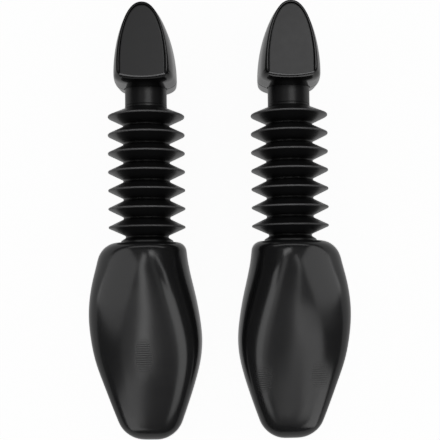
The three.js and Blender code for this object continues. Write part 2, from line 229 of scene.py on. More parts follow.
# Toe form
toeForm = {
    "lateralReach": 40 * mm,
    "medialReach": 35.3 * mm,
    "height": 57 * mm,
    "tipSeamHeight": 8 * mm,
    "shoulderRound": 6 * mm,
    "outerShoulderRound": 11 * mm,
    "crownRound": 5 * mm,
    "tipRound": 12 * mm,
    "noseRound": 9 * mm,
    "noseShareBelow": 0.5,
    "soleSquareness": 3,
    "soleSoftness": 0.6 * mm,
    "wall": 2.2 * mm,
    "seamGap": 0.3 * mm,
    "seamEdge": 0.25 * mm,
    "mouthRadius": 18 * mm,
    "mouthDepth": 3 * mm,
    "mouthEdge": 0.5 * mm,
    "columns": 72,
    "rows": 90,
    "evening": 6,
    "eveningStrength": 0.5,
    "sharpAngle": 60,
    # place along, outer reach, inner reach, crown, sole, crown's place across, outer and inner squareness
    "stations": [
        [0.0, 0.77, 0.72, 0.965, 0.065, 0.03, 1.95, 2.1],
        [0.08, 0.825, 0.745, 1.0, 0.005, 0.05, 1.85, 2.1],
        [0.18, 0.915, 0.815, 0.99, -0.02, 0.155, 2.0, 2.2],
        [0.28, 0.98, 0.9, 0.942, -0.02, 0.23, 2.2, 2.4],
        [0.38, 1.0, 0.965, 0.877, -0.02, 0.32, 2.45, 2.6],
        [0.49, 0.968, 1.0, 0.8, -0.02, 0.375, 2.85, 3.0],
        [0.6, 0.895, 0.96, 0.714, -0.02, 0.375, 3.3, 3.5],
        [0.7, 0.785, 0.865, 0.632, -0.02, 0.3, 3.6, 3.9],
        [0.8, 0.67, 0.745, 0.548, -0.01, 0.21, 3.8, 4.1],
        [0.91, 0.54, 0.6, 0.455, 0.02, 0.115, 3.6, 3.7],
        [1.0, 0.43, 0.475, 0.36, 0.055, 0.07, 3.2, 3.3],
    ],
}
toeCurve = smoothCurve(toeForm["stations"])
toeSlope = (axisZ - toeForm["tipSeamHeight"]) / toeLength


def softFloor(height):  # lets the sole run out flat on the ground
    soft = toeForm["soleSoftness"]
    if height > soft:
        return height
    return max(height + soft, 0) ** 2 / (4 * soft)


def toePoint(fromMouth, turn, half):  # half is 1 above the seam and -1 below, turn runs from the outer side
    outer, inner, crown, sole, ridge, outerSquare, innerSquare = toeCurve(fromMouth / toeLength)
    shoulder = roundInset(toeForm["shoulderRound"], fromMouth)
    outerShoulder = roundInset(toeForm["outerShoulderRound"], fromMouth)
    crownEdge = roundInset(toeForm["crownRound"], fromMouth)
    tip = roundInset(toeForm["tipRound"], toeLength - fromMouth)
    nose = roundInset(toeForm["noseRound"], toeLength - fromMouth)
    lateral = -(outer * toeForm["lateralReach"] - outerShoulder - tip)
    medial = inner * toeForm["medialReach"] - shoulder - tip
    belt = axisZ - fromMouth * toeSlope + half * toeForm["seamGap"] / 2
    if half > 0:
        peakAcross = ridge * toeForm["medialReach"]
        peak = crown * toeForm["height"] - crownEdge - nose
        square = outerSquare if turn < 0.5 else innerSquare
    else:
        peakAcross = (lateral + medial) / 2
        peak = sole * toeForm["height"] + shoulder + nose * toeForm["noseShareBelow"]
        square = toeForm["soleSquareness"]
    edge = lateral if turn < 0.5 else medial
    reach = min(math.sin(abs(turn - 0.5) * math.pi), 1)
    height = belt + (peak - belt) * max(1 - reach**square, 0) ** (1 / square)
    across = axisX + peakAcross + (edge - peakAcross) * reach
    return Vector((across, mouthY - fromMouth, softFloor(height) if half < 0 else height))


def mouthPoint(radius, depth, turn, half):
    angle = math.pi * (1 - turn)
    height = axisZ + half * (radius * math.sin(angle) + toeForm["seamGap"] / 2)
    return Vector((axisX + radius * math.cos(angle), mouthY - depth, height))


def toeRows():
    rows = [("bore", toeForm["mouthRadius"], toeForm["mouthDepth"])]
    for draw, back in quarterRound(toeForm["mouthEdge"]):
        rows.append(("bore", toeForm["mouthRadius"] + draw, back))
    rows += [("face", mix) for mix in (0.25, 0.5, 0.75)]
    for step in range(toeForm["rows"] + 1):
        rows.append(("skin", toeLength * (1 - math.cos(step / toeForm["rows"] * math.pi)) / 2))
    rows += [("cap", mix) for mix in (0.25, 0.5, 0.75, 1)]
    return rows


def toePlace(row, turn, half):
    if row[0] == "bore":
        return mouthPoint(row[1], row[2], turn, half)
    if row[0] == "face":
        rim = mouthPoint(toeForm["mouthRadius"] + toeForm["mouthEdge"], 0, turn, half)
        return rim.lerp(toePoint(0, turn, half), row[1])
    if row[0] == "skin":
        return toePoint(row[1], turn, half)
    end = toePoint(toeLength, turn, half)
    belt = toeForm["tipSeamHeight"] + half * toeForm["seamGap"] / 2
    return end.lerp(Vector((end.x, end.y, belt)), row[1])


def makeToeShell(name, half):
    piece = formSheet(name, toeForm["columns"], toeRows(), lambda row, turn: toePlace(row, turn, half))
    editAll(piece)
    bpy.ops.mesh.region_to_loop()
    bpy.ops.mesh.select_all(action="INVERT")
    bpy.ops.mesh.vertices_smooth(factor=toeForm["eveningStrength"], repeat=toeForm["evening"])
    bpy.ops.object.mode_set(mode="OBJECT")
    applyModifier(piece, "SOLIDIFY", {"thickness": toeForm["wall"], "offset": -1, "use_even_offset": True})
    sharp = math.radians(toeForm["sharpAngle"])
    bevel = {"width": toeForm["seamEdge"], "segments": 2, "limit_method": "ANGLE", "angle_limit": sharp}
    applyModifier(piece, "BEVEL", bevel)
    return piece


# Screws and the bosses that hold them
screwForm = {
    "headRadius": 2.9 * mm,
    "headHeight": 2.2 * mm,
    "headRound": 0.7 * mm,
    "headEdge": 0.15 * mm,
    "shankRadius": 1.25 * mm,
    "threadRise": 0.4 * mm,
    "threadPitch": 1.3 * mm,
    "pointLength": 1.5 * mm,
    "crossLength": 3.6 * mm,
    "crossWidth": 0.75 * mm,
    "crossDepth": 1.2 * mm,
    "clearance": 0.4 * mm,
    "bossRadius": 5 * mm,
    "seatThickness": 5 * mm,
    "accessPast": 2 * mm,
    "arcSteps": 4,
    "turnSteps": 24,
    "shadeAngle": 35,
}


def screwSeat(node):  # where the upper side of the head rests
    return nodeBase(node) + Vector((0, 0, screwForm["headHeight"]))


def addBoss(piece, seat, top):  # the boss stands on the floor of the shell
    clearance = screwForm["clearance"]
    past = screwForm["accessPast"]
    bossTop = min(seat.z + screwForm["seatThickness"], top)
    bossLow = toeForm["wall"] / 2
    boss = rod(screwForm["bossRadius"], (seat.x, seat.y, (bossLow + bossTop) / 2), bossTop - bossLow)
    cutBy(piece, boss, "UNION")
    accessMiddle = (seat.x, seat.y, (seat.z - past) / 2)
    cutBy(piece, rod(screwForm["headRadius"] + clearance, accessMiddle, seat.z + past))
    shankLength = 3 * (bossTop - seat.z)  # well past both ends of the boss
    cutBy(piece, rod(screwForm["shankRadius"] + clearance, (seat.x, seat.y, bossTop), shankLength))


def makeScrew(name, node):  # head down, with a cross recess and rings for its thread
    low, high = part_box(node)
    base = nodeBase(node)
    length = high.z - low.z
    head = screwForm["headHeight"]
    shank = screwForm["shankRadius"]
    corners = [(0, 0, 0), (screwForm["headRadius"], 0, screwForm["headRound"])]
    corners += [(screwForm["headRadius"], head, screwForm["headEdge"]), (shank, head, 0)]
    along = head + screwForm["threadPitch"]
    flank = screwForm["threadPitch"] / 3
    while along < length - screwForm["pointLength"]:
        corners += [(shank, along - flank, 0)]
        corners += [(shank + screwForm["threadRise"], along, 0)]
        corners += [(shank, along + flank, 0)]
        along += screwForm["threadPitch"]
    corners += [(shank, length - screwForm["pointLength"], 0), (0, length, 0)]
    outline = rounded(corners, screwForm["arcSteps"])
    piece = turnOutline(name, outline, screwForm["turnSteps"], base, upright=True)
    for turn in (0, math.pi / 2):
        clearPick()
        bpy.ops.mesh.primitive_cube_add(size=1, location=base, rotation=(0, 0, turn))
        slot = takeNew("crossSlot")
        slot.scale = (screwForm["crossLength"], screwForm["crossWidth"], 2 * screwForm["crossDepth"])
        bpy.ops.object.transform_apply(location=True, rotation=True, scale=True)
        cutBy(piece, slot)
    smoothShade(piece, screwForm["shadeAngle"])
    return piece


print("everyday moves and toe form set")

# Heel block
heelForm = {
    "length": 52.5 * mm,
    "width": 41 * mm,
    "height": 60 * mm,
    "frontLobe": 8 * mm,
    "frontBow": 1.2 * mm,
    "rearTaper": 1.8,
    "rearSquareness": 2.2,
    "wall": 2.2 * mm,
    "floor": 2.5 * mm,
    "deck": 1.8 * mm,
    "seamGap": 0.3 * mm,
    "edge": 0.3 * mm,
    "baseEdge": 0.8 * mm,
    "rimWidth": 1.6 * mm,
    "rimEdge": 0.6 * mm,
    "recessEdge": 0.35 * mm,
    "recessSteps": 4,
    "panelThickness": 2.1 * mm,
    "panelSink": 0.3 * mm,
    "panelGap": 0.15 * mm,
    "panelEdge": 0.8 * mm,
    "panelBow": 1.7 * mm,
    "panelFrontFill": 1.6,  # above 1 it squares off the panel's front corners
    "highlightDepth": 0.98,  # how far the painted highlight on the front edge reaches, back and down, in shares of its round
    "highlightDrop": 1.01,
    "columns": 112,
    "insideRows": 8,
    "sideRows": 24,
    "insideShrink": (0, 0.5, 0.9),
    "endShrink": (0.93, 0.5, 0),
    "panelShrink": (0.985, 0.93, 0.5, 0),
    "neckClearance": 0.4 * mm,
    "neckHoleLength": 24 * mm,
    "neckHoleSides": 96,
    # share of the height, half width, how far the front and the rear stand back, squareness of the front
    "stations": [
        [0.0, 0.7, 0.105, 0.095, 3.2],
        [0.083, 0.865, 0.055, 0.04, 3.2],
        [0.25, 0.97, 0.03, 0.01, 3.2],
        [0.5, 1.0, 0.025, 0.0, 3.2],
        [0.75, 0.962, 0.033, 0.0, 3.6],
        [0.9, 0.895, 0.05, 0.0, 4.4],
        [1.0, 0.793, 0.0874, 0.0, 5.0],
    ],
}
heelCurve = smoothCurve(heelForm["stations"])
heelFrontY = heelRearY - heelForm["length"]
recessFloor = heelForm["height"] - heelForm["panelSink"] - heelForm["panelThickness"] - heelForm["panelGap"]


def signedPower(value, power):
    return math.copysign(abs(value) ** power, value)


def heelPoint(height, inset, shrink, turn):  # turn runs once round, from the inner side over the rear
    width, frontBack, rearBack, square = heelCurve(min(max(height / heelForm["height"], 0), 1))
    half = width * heelForm["width"] / 2 - inset
    front = heelFrontY + frontBack * heelForm["length"] + inset
    rear = heelRearY - rearBack * heelForm["length"] - inset
    middle = front + heelForm["frontLobe"]
    angle = 2 * math.pi * turn
    if math.sin(angle) >= 0:
        across = half * signedPower(math.cos(angle), 2 / heelForm["rearSquareness"])
        along = (rear - middle) * math.sin(angle) ** (2 / heelForm["rearTaper"])
    else:
        share = signedPower(math.cos(angle), 2 / square)
        across = half * share
        reach = abs(math.sin(angle)) ** (2 / square)
        along = (front - middle + heelForm["frontBow"] * share * share) * reach
    return Vector((axisX + shrink * across, middle + shrink * along, height))


def heelSheet(name, rows):
    return formSheet(name, heelForm["columns"], rows, lambda row, turn: heelPoint(*row, turn))


def edgeRows(height, inset, radius, towards):  # a quarter round where a wall meets an edge at a height
    return [(height + towards * back, inset + draw, 1) for draw, back in quarterRound(radius)]


def makeHeelBottom(name):
    seam = axisZ - heelForm["seamGap"] / 2
    floor = heelForm["floor"]
    rows = [(floor, heelForm["wall"], shrink) for shrink in heelForm["insideShrink"]]
    rows += [(level, heelForm["wall"], 1) for level in np.linspace(floor, seam, heelForm["insideRows"])]
    rows += edgeRows(seam, 0, heelForm["edge"], -1)[::-1]
    levels = np.linspace(seam - heelForm["edge"], heelForm["baseEdge"], heelForm["sideRows"])
    rows += [(level, 0, 1) for level in levels[1:-1]]
    rows += edgeRows(0, 0, heelForm["baseEdge"], 1)
    rows += [(0, heelForm["baseEdge"], shrink) for shrink in heelForm["endShrink"]]
    return heelSheet(name, rows)


def makeHeelTop(name):
    seam = axisZ + heelForm["seamGap"] / 2
    deck = recessFloor - heelForm["deck"]
    top = heelForm["height"]
    rows = [(deck, heelForm["wall"], shrink) for shrink in heelForm["insideShrink"]]
    rows += [(level, heelForm["wall"], 1) for level in np.linspace(deck, seam, heelForm["insideRows"])]
    rows += edgeRows(seam, 0, heelForm["edge"], 1)[::-1]
    levels = np.linspace(seam + heelForm["edge"], top - heelForm["rimEdge"], heelForm["sideRows"])
    rows += [(level, 0, 1) for level in levels[1:-1]]
    rows += edgeRows(top, 0, heelForm["rimEdge"], -1)
    rows += [(top, heelForm["rimEdge"], shrink) for shrink in heelForm["endShrink"]]
    piece = heelSheet(name, rows)
    cutBy(piece, makeRecessCutter())
    return piece


def openOutline(inset, frontY, bow, turn):  # round the rear, then straight sides to a bowed front
    point = heelPoint(heelForm["height"], inset, 1, turn)
    side = heelPoint(heelForm["height"], inset, 1, 0)
    angle = 2 * math.pi * turn
    if math.sin(angle) < 0:
        share = max(-1, min(1, heelForm["panelFrontFill"] * math.cos(angle)))
        reach = min(1, -heelForm["panelFrontFill"] * math.sin(angle))
        point.x = axisX + share * (side.x - axisX)
        point.y = side.y + reach * (frontY + bow * share * share - side.y)
    return point


def openSheet(name, rows):  # rows are height, inset, front, bow, shrink
    centre = heelPoint(heelForm["height"], 0, 0, 0)

    def place(row, turn):
        point = centre.lerp(openOutline(*row[1:4], turn), row[4])
        point.z = row[0]
        return point

    return formSheet(name, heelForm["columns"], rows, place)


def makeRecessCutter():  # the panel's seat, open at the front
    inset = heelForm["rimWidth"]
    edge = heelForm["recessEdge"]
    top = heelForm["height"]
    openY = heelFrontY - heelForm["frontLobe"]
    rows = [(recessFloor, inset, openY, 0, 0), (recessFloor, inset, openY, 0, 1)]
    for draw, back in quarterRound(edge, heelForm["recessSteps"]):
        rows.append((top - back, inset - draw, openY, 0, 1))
    rows += [(top + edge, inset - edge, openY, 0, shrink) for shrink in (1, 0)]
    return openSheet("recessCutter", rows)


def makeHeelPanel(name):
    inset = heelForm["rimWidth"] + heelForm["panelGap"]
    low = recessFloor + heelForm["panelGap"]
    top = low + heelForm["panelThickness"]
    frontY = heelPoint(heelForm["height"], 0, 1, 0.75).y  # three quarters round is the middle of the front
    bow = heelForm["panelBow"]
    rows = [(low, inset, frontY, bow, 0), (low, inset, frontY, bow, 1)]
    edge = heelForm["panelEdge"]
    rows += [(top - back, inset + draw, frontY + draw, bow, 1) for draw, back in quarterRound(edge)]
    rows += [(top, inset + edge, frontY + edge, bow, shrink) for shrink in heelForm["panelShrink"]]
    piece = openSheet(name, rows)
    half = heelPoint(heelForm["height"], inset, 1, 0).x - axisX
    marks = piece.data.attributes.new("ridgeWear", "FLOAT", "POINT")
    for vertex in piece.data.vertices:  # the round of the front edge gets a painted highlight
        fromFront = vertex.co.y - frontY - bow * ((vertex.co.x - axisX) / half) ** 2
        onRound = vertex.co.z > top - heelForm["highlightDrop"] * edge
        marks.data[vertex.index].value = 1 if onRound and fromFront < heelForm["highlightDepth"] * edge else 0
    return piece


# Bellows, cuffs and neck: outlines turned about the tree's axis, places from the mouth towards the heel
bellowsForm = {
    "foldCount": 7,
    "foldPitch": 12.2 * mm,
    "firstRidge": 9.9 * mm,
    "ridgeApex": 26.42 * mm,
    "ridgeRound": 0.8 * mm,
    "valleyApex": 13.97 * mm,
    "valleyRound": 1.12 * mm,
    "endValleyApex": 12.9 * mm,
    "cuffRadius": 17.5 * mm,
    "cuffDepth": 2.6 * mm,
    "lipRadius": 17 * mm,
    "lipReach": 1.2 * mm,
    "lipRound": 0.5 * mm,
    "heelEndRadius": 14.1 * mm,
    "heelEndRun": 5.3 * mm,
    "wall": 1.3 * mm,
    "turnSteps": 128,
    "wearAndHighlightReach": 0.3 * mm,
    "arcSteps": 5,
    "shadeAngle": 50,
    "bendFolds": 2,
    "swingFolds": 1,
}
neckForm = {
    "radius": 13.8 * mm,
    "bore": 10.4 * mm,
    "spigotRadius": 12.1 * mm,
    "spigotLength": 3.2 * mm,
    "spigotGap": 0.3 * mm,
    "cuffRoom": 1.8 * mm,
    "cuffRadius": 13.9 * mm,
    "gap": 0.12 * mm,
    "show": 8.9 * mm,
    "tail": 9.5 * mm,
    "edge": 0.2 * mm,
    "arcSteps": 4,
    "shadeAngle": 40,
}


def ridgeAt(fold):
    return bellowsForm["firstRidge"] + fold * bellowsForm["foldPitch"]


def midCone(fold):  # half way down the heel side of a fold, where two lengths of bellows meet
    radius = (bellowsForm["ridgeApex"] + bellowsForm["valleyApex"]) / 2
    return radius, ridgeAt(fold) + bellowsForm["foldPitch"] / 4


bendEnd = midCone(bellowsForm["bendFolds"] - 1)
swingStart = midCone(bellowsForm["foldCount"] - bellowsForm["swingFolds"] - 1)
bellowsEnd = ridgeAt(bellowsForm["foldCount"] - 1) + bellowsForm["heelEndRun"]


def valleyBefore(fold):
    valley = ridgeAt(fold) - bellowsForm["foldPitch"] / 2
    return bellowsForm["valleyApex"], valley, bellowsForm["valleyRound"]


def foldCorners(firstFold, lastFold):  # ridge, valley, ridge and so on
    corners = []
    for fold in range(firstFold, lastFold + 1):
        if fold > firstFold:
            corners.append(valleyBefore(fold))
        corners.append((bellowsForm["ridgeApex"], ridgeAt(fold), bellowsForm["ridgeRound"]))
    return corners


def makeBellowsBend(name):
    form = bellowsForm
    corners = [
        (form["cuffRadius"], -form["cuffDepth"], 0),
        (form["cuffRadius"], 0, 0),
        (form["lipRadius"], form["lipReach"], form["lipRound"]),
        (form["endValleyApex"], *valleyBefore(0)[1:]),
    ]
    corners += foldCorners(0, form["bendFolds"] - 1)
    return finishBellows(name, [*corners, (*bendEnd, 0)])


def makeBellowsSqueeze(name):
    first = bellowsForm["bendFolds"]
    folds = foldCorners(first, bellowsForm["foldCount"] - bellowsForm["swingFolds"] - 1)
    return finishBellows(name, [(*bendEnd, 0), valleyBefore(first), *folds, (*swingStart, 0)])


def makeBellowsSwing(name):
    first = bellowsForm["foldCount"] - bellowsForm["swingFolds"]
    folds = foldCorners(first, bellowsForm["foldCount"] - 1)
    end = (bellowsForm["heelEndRadius"], bellowsEnd, 0)
    return finishBellows(name, [(*swingStart, 0), valleyBefore(first), *folds, end])


def finishBellows(name, corners):
    outline = rounded(corners, bellowsForm["arcSteps"])
    piece = turnOutline(name, outline, bellowsForm["turnSteps"], axisStart)
    applyModifier(piece, "SOLIDIFY", {"thickness": bellowsForm["wall"], "offset": -1})
    smoothShade(piece, bellowsForm["shadeAngle"])
    markRidges(piece)
    return piece


def markRidges(piece):  # how close each point is to a ridge, for the pale wear and painted highlight on the crests of the folds
    marks = piece.data.attributes.new("ridgeWear", "FLOAT", "POINT")
    radii = [math.hypot(vertex.co.x - axisX, vertex.co.z - axisZ) for vertex in piece.data.vertices]
    crest = max(radii)
    for mark, radius in zip(marks.data, radii):
        mark.value = max((radius - crest) / bellowsForm["wearAndHighlightReach"] + 1, 0)


def finishTube(name, corners):
    piece = turnOutline(name, rounded(corners, neckForm["arcSteps"]), bellowsForm["turnSteps"], axisStart)
    smoothShade(piece, neckForm["shadeAngle"])
    return piece


def makeHeelCuff(name):
    start = bellowsEnd + neckForm["gap"]
    end = bellowsEnd + neckForm["cuffRoom"] - neckForm["gap"]
    bore = neckForm["spigotRadius"] + neckForm["spigotGap"]
    corners = [
        (bore, start, 0),
        (neckForm["cuffRadius"], start, neckForm["edge"]),
        (neckForm["cuffRadius"], end, neckForm["edge"]),
        (bore, end, 0),
        (bore, start, 0),
    ]
    return finishTube(name, corners)


def makeNeck(name):
    shoulder = bellowsEnd + neckForm["cuffRoom"]
    spigot = shoulder - neckForm["spigotLength"]
    tail = shoulder + neckForm["show"] + neckForm["tail"]
    corners = [
        (neckForm["bore"], spigot, 0),
        (neckForm["spigotRadius"], spigot, neckForm["edge"]),
        (neckForm["spigotRadius"], shoulder, 0),
        (neckForm["radius"], shoulder, neckForm["edge"]),
        (neckForm["radius"], tail, neckForm["edge"]),
        (neckForm["bore"], tail, 0),
        (neckForm["bore"], spigot, 0),
    ]
    return finishTube(name, corners)


# Materials
class Paint:  # a socket in a node tree that Python maths can use
    def __init__(self, tree, socket=None):
        self.tree = tree
        self.socket = socket

    def node(self, kind, settings=None, inputs=None, output=0):
        made = self.tree.nodes.new(kind)
        for key, value in (settings or {}).items():
            setattr(made, key, value)
        for key, value in (inputs or {}).items():
            if isinstance(value, Paint):
                self.tree.links.new(value.socket, made.inputs[key])
            else:
                made.inputs[key].default_value = value
        return Paint(self.tree, made.outputs[output])

    def beside(self, output):  # another output of the same node
        return Paint(self.tree, self.socket.node.outputs[output])

    def maths(self, operation, first, second):
        return self.node("ShaderNodeMath", {"operation": operation}, {0: first, 1: second})

    def __add__(self, other):
        return self.maths("ADD", self, other)

    def __radd__(self, other):
        return self.maths("ADD", other, self)

    def __sub__(self, other):
        return self.maths("SUBTRACT", self, other)

    def __rsub__(self, other):
        return self.maths("SUBTRACT", other, self)

    def __mul__(self, other):
        return self.maths("MULTIPLY", self, other)

    def __rmul__(self, other):
        return self.maths("MULTIPLY", other, self)

    def mixed(self, low, high):  # a colour between two, by this value
        settings = {"data_type": "RGBA", "clamp_factor": True}
        return self.node("ShaderNodeMix", settings, {0: self, 6: low, 7: high}, output=2)


def newMaterial(name):
    material = bpy.data.materials.new(name)
    material.use_nodes = True
    tree = material.node_tree
    return material, tree.nodes["Principled BSDF"], Paint(tree)


def ownPlace(paint):
    return paint.node("ShaderNodeTexCoord", output="Object")


def noise(paint, scale, detail):
    inputs = {"Vector": ownPlace(paint), "Scale": scale, "Detail": detail}
    return paint.node("ShaderNodeTexNoise", None, inputs)


def link(paint, value, shader, socket):
    paint.tree.links.new(value.socket, shader.inputs[socket])


plasticLooks = {
    "shellPlastic": {
        "dark": (0.0085, 0.0085, 0.009, 1),
        "light": (0.0125, 0.0125, 0.013, 1),
        "roughness": 0.19,
        "roughnessSpread": 0.05,
        "peelScale": 700,
        "peelDepth": 0.0006 * mm,
        "rippleDulling": 0.28,
        # centre across and along, half width, half length
        "ripplePatches": [
            (-0.0495, -0.0834, 0.0065, 0.0120),
            (0.0280, -0.1000, 0.0065, 0.0100),
            (0.0645, -0.0976, 0.0065, 0.0100),
        ],
        "slot": "shell_plastic",
    },
    # the shell's plastic, painted lighter so that the neck looks more brightly lit
    "neckPlastic": {
        "dark": (0.020, 0.020, 0.021, 1),
        "light": (0.025, 0.025, 0.026, 1),
        "roughness": 0.34,
        "roughnessSpread": 0.05,
        "peelScale": 1800,
        "peelDepth": 0.0008 * mm,
        "slot": "shell_plastic",
    },
    "bellowsPlastic": {
        "dark": (0.0095, 0.0095, 0.01, 1),
        "light": (0.0125, 0.0125, 0.013, 1),
        "roughness": 0.3,
        "roughnessSpread": 0.04,
        "peelScale": 900,
        "peelDepth": 0.0005 * mm,
        # pale crests of the folds: wear together with a painted highlight
        "wearAndHighlightColour": (0.17, 0.17, 0.173, 1),
        "wearAndHighlightRoughness": 0.1,
        "slot": "bellows_plastic",
    },
    "panelPlastic": {
        "dark": (0.016, 0.016, 0.017, 1),
        "light": (0.021, 0.021, 0.022, 1),
        "roughness": 0.42,
        "roughnessSpread": 0.08,
        "peelScale": 2600,
        "peelDepth": 0.0015 * mm,
        "specular": 0.75,
        # painted highlight on the round of the panel's front edge
        "wearAndHighlightColour": (0.14, 0.14, 0.143, 1),
        "wearAndHighlightRoughness": 0,
        "slot": "panel_plastic",
    },
    "innerPlastic": {
        "dark": (0.012, 0.012, 0.013, 1),
        "light": (0.02, 0.02, 0.022, 1),
        "roughness": 0.5,
        "roughnessSpread": 0.1,
        "peelScale": 1500,
        "peelDepth": 0.006 * mm,
        "slot": "inner_plastic",
    },
}
# the cuff: bellows plastic painted as light as the neck, a painted brightness
plasticLooks["cuffPlastic"] = {**plasticLooks["neckPlastic"], "slot": "bellows_plastic"}
# what all the plastics share: scale and detail of each noise, least wear and painted highlight and how far
# it varies, ripples
plasticGrain = {
    "cloud": (38, 2.0),
    "haze": (240, 4.0),
    "peelDetail": 3.0,
    "leastWearAndHighlight": 0.7,
    "wearAndHighlightSpread": 0.6,
    "rippleScale": 210,
    "rippleDistortion": 0.3,
}


def makePlastic(name):
    look = plasticLooks[name]
    material, shader, paint = newMaterial(name)
    cloud = noise(paint, *plasticGrain["cloud"])
    fine = noise(paint, look["peelScale"], plasticGrain["peelDetail"])
    haze = noise(paint, *plasticGrain["haze"])
    colour = cloud.mixed(look["dark"], look["light"])
    gloss = look["roughness"] + (cloud + haze - 1) * look["roughnessSpread"]
    height = fine * (look["peelDepth"] / mm)
    if "wearAndHighlightColour" in look:  # pale along the ridges, wear with a painted highlight, and a painted highlight on the panel's front edge
        wearAndSheen = paint.node("ShaderNodeAttribute", {"attribute_name": "ridgeWear"}, output=2)
        wearAndSheen = wearAndSheen * wearAndSheen * (plasticGrain["leastWearAndHighlight"] + plasticGrain["wearAndHighlightSpread"] * haze)
        colour = wearAndSheen.mixed(colour, look["wearAndHighlightColour"])
        gloss = gloss + wearAndSheen * look["wearAndHighlightRoughness"]
    if "ripplePatches" in look:  # patches of fine lines left across the mould by its cutter
        gloss = gloss + ripples(paint, look["ripplePatches"]) * look["rippleDulling"]
    if "specular" in look:
        shader.inputs["Specular IOR Level"].default_value = look["specular"]
    link(paint, colour, shader, "Base Color")
    link(paint, gloss, shader, "Roughness")
    bump = paint.node("ShaderNodeBump", None, {"Height": height, "Distance": mm, "Strength": 1.0})
    link(paint, bump, shader, "Normal")
    return material


def ripples(paint, patches):
    place = ownPlace(paint)
    across = paint.node("ShaderNodeSeparateXYZ", None, {0: place})
    along = across.beside(1)
    cover = None
    for middleX, middleY, halfWidth, halfLength in patches:
        fadeX = 1 - paint.maths("POWER", (across - middleX) * (1 / halfWidth), 2)
        fadeY = 1 - paint.maths("POWER", (along - middleY) * (1 / halfLength), 2)
        patch = paint.maths("MAXIMUM", fadeX, 0) * paint.maths("MAXIMUM", fadeY, 0)
        cover = patch if cover is None else cover + patch
    settings = {"wave_type": "BANDS", "bands_direction": "Y"}
    lines = {"Scale": plasticGrain["rippleScale"], "Distortion": plasticGrain["rippleDistortion"]}
    return paint.node("ShaderNodeTexWave", settings, {"Vector": place, **lines}, output=1) * cover


steelLook = {
    "dark": (0.42, 0.42, 0.43, 1),
    "light": (0.6, 0.6, 0.6, 1),
    "roughness": 0.24,
    "roughnessSpread": 0.2,
    "grain": (1800, 3.0),
    "slot": "screw_steel",
}


def makeSteel(name):
    material, shader, paint = newMaterial(name)
    grain = noise(paint, *steelLook["grain"])
    link(paint, grain.mixed(steelLook["dark"], steelLook["light"]), shader, "Base Color")
    link(paint, steelLook["roughness"] + grain * steelLook["roughnessSpread"], shader, "Roughness")
    shader.inputs["Metallic"].default_value = 1.0
    return material


finishes = {name: makePlastic(name) for name in plasticLooks}
finishes["screwSteel"] = makeSteel("screwSteel")
slots = {name: look["slot"] for name, look in plasticLooks.items()}
slots["screwSteel"] = steelLook["slot"]
print("finishes made:", ", ".join(finishes))


# The pieces of the right tree
def dress(piece, finish):
    piece.data.materials.clear()
    piece.data.materials.append(finishes[finish])


toeTop = makeToeShell("right_toe_top", 1)
smoothShade(toeTop)
toeBottom = makeToeShell("right_toe_bottom", -1)
for number in (1, 2, 3):
    seat = screwSeat(f"right_toe_screw_{number}")
    seam = axisZ - (mouthY - seat.y) * toeSlope - toeForm["seamGap"]
    addBoss(toeBottom, seat, seam - toeForm["wall"] / 2)
smoothShade(toeBottom)
print("toe form made:", len(toeTop.data.polygons) + len(toeBottom.data.polygons), "faces")

heelBottom = makeHeelBottom("right_heel_bottom")
heelTop = makeHeelTop("right_heel_top")
holeRadius = neckForm["radius"] + heelForm["neckClearance"]
holeSize = (heelForm["neckHoleLength"], "Y", heelForm["neckHoleSides"])
for half in (heelBottom, heelTop):
    cutBy(half, rod(holeRadius, (axisX, heelFrontY, axisZ), *holeSize))
for number in (1, 2):
    addBoss(heelBottom, screwSeat(f"right_heel_screw_{number}"), axisZ - heelForm["seamGap"])
for half in (heelBottom, heelTop):
    smoothShade(half)
heelPanel = makeHeelPanel("right_heel_panel_inlay")
smoothShade(heelPanel)
print("heel block made:", len(heelTop.data.polygons) + len(heelBottom.data.polygons), "faces")

bellowsBend = makeBellowsBend("right_bellows_bend")
bellowsSqueeze = makeBellowsSqueeze("right_bellows_squeeze")
bellowsSwing = makeBellowsSwing("right_bellows_swing")
heelCuff = makeHeelCuff("right_end_cuff")
neck = makeNeck("right_neck")
print("bellows and neck made")


def copyTo(piece, name, node, model):  # a copy with its own mesh, moved from the model's place to another
    only(piece)
    bpy.ops.object.duplicate()
    twin = takeNew(name)
    twin.location = nodeBase(node) - nodeBase(model)
    bpy.ops.object.transform_apply(location=True, rotation=True, scale=True)
    return twin


firstScrew = makeScrew("right_toe_screw_cross_1", "right_toe_screw_1")
screws = [(firstScrew, "screwSteel", "toe", ["toe_screw_1"])]
for part, number in (("toe", 2), ("toe", 3), ("heel", 1), ("heel", 2)):
    node = f"{part}_screw_{number}"
    copy = copyTo(firstScrew, f"right_{part}_screw_cross_{number}", f"right_{node}", "right_toe_screw_1")
    screws.append((copy, "screwSteel", part, [node]))
print("screws made:", len(screws))

# What each piece wears, rides on and stands for
pieceTable = screws + [
    (toeTop, "shellPlastic", "toe", ["toe_top_shell"]),
    (toeBottom, "shellPlastic", "toe", ["toe_bottom_shell"]),
    (heelTop, "shellPlastic", "heel", ["heel_top_shell"]),
    (heelBottom, "shellPlastic", "heel", ["heel_bottom_shell"]),
    (heelPanel, "panelPlastic", "heel", ["heel_panel"]),
    (heelCuff, "cuffPlastic", "heel", ["bellows_heel_cuff"]),
    (neck, "neckPlastic", "heel", ["neck_tube"]),
    (bellowsBend, "bellowsPlastic", ("toe", "bellows_toe_end"), ["bellows_toe_cuff", "bellows_toe_folds"]),
    (
        bellowsSqueeze,
        "bellowsPlastic",
        ("bellows_toe_end", "bellows_heel_end"),
        ["bellows_toe_folds", "bellows_heel_folds"],
    ),
    (bellowsSwing, "bellowsPlastic", ("bellows_heel_end", "heel"), ["bellows_heel_folds"]),
]
